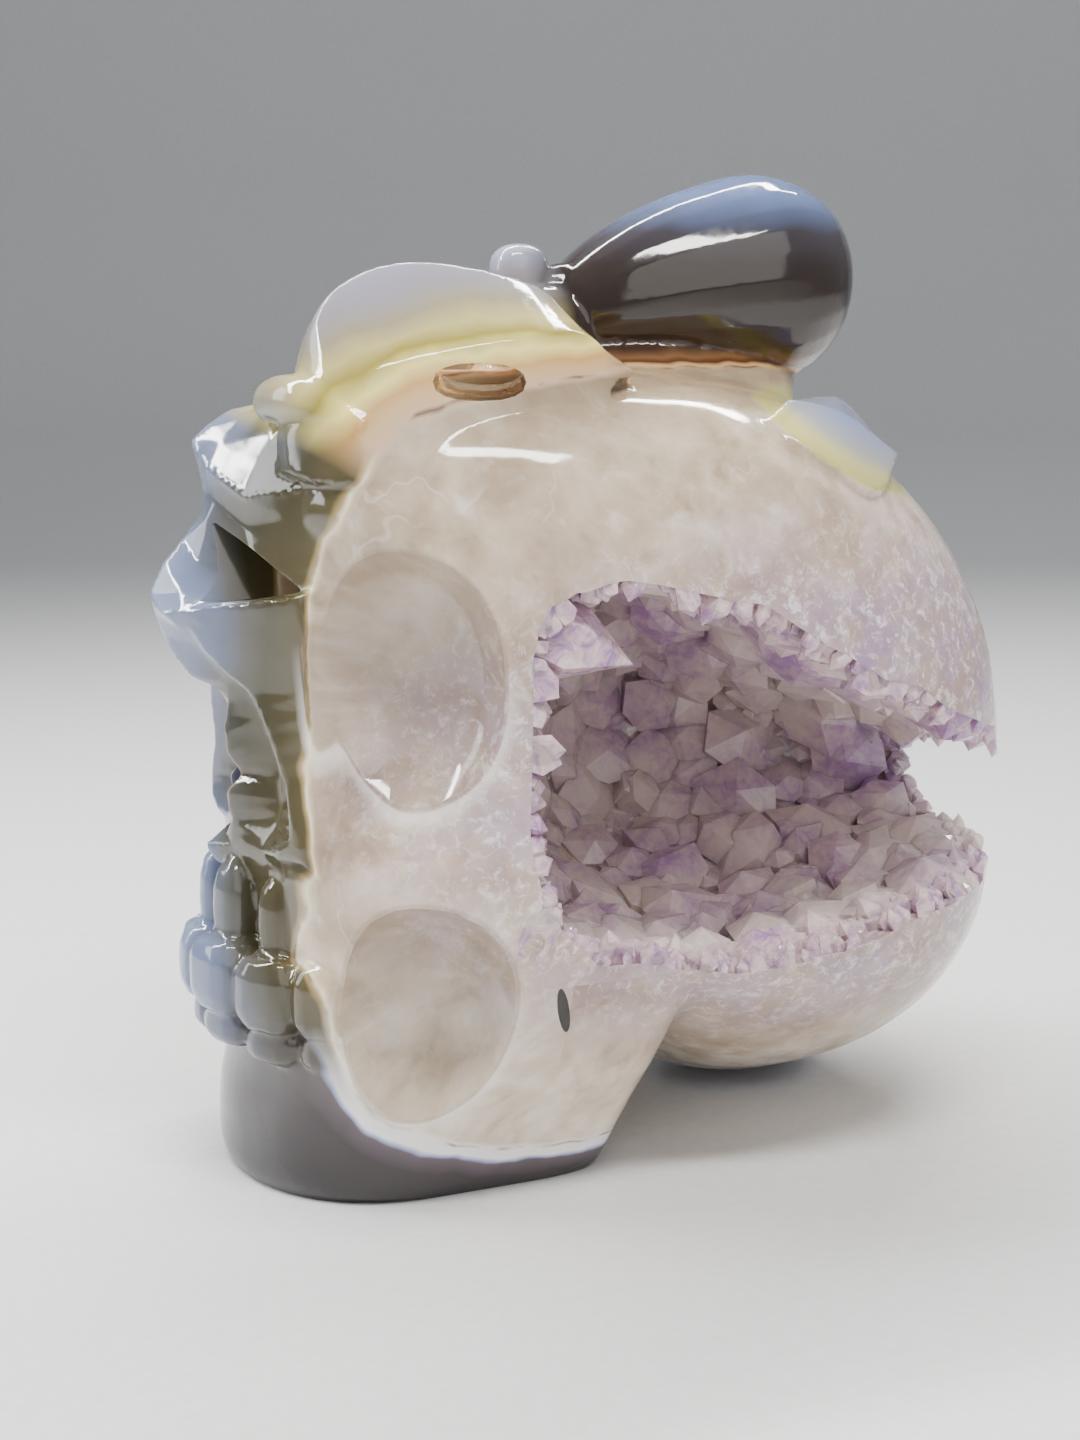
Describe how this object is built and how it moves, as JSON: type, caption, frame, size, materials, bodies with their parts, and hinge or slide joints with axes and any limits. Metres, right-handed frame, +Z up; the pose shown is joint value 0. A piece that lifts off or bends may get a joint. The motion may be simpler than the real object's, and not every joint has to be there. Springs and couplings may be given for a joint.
{
  "type": "carved stone skull",
  "caption": "Skull carved from an agate geode, with an open crystal-lined hollow in its left side and a spider-like figure on its crown.",
  "frame": {"origin": "middle of the object's box, on the floor that it rests on", "axes": "+Z up; the skull faces -Y; +X is its own left side, where the crystal-lined hollow opens"},
  "size_m": [0.1006, 0.1448, 0.1584],
  "materials": {
    "agate": "polished, translucent, banded from warm milky quartz to blue-grey chalcedony",
    "amethyst": "natural crystal faces, pale lilac"
  },
  "bodies": {
    "root": {"skull_carving": "agate", "amethyst_crust": "amethyst"}
  },
  "joints": []
}
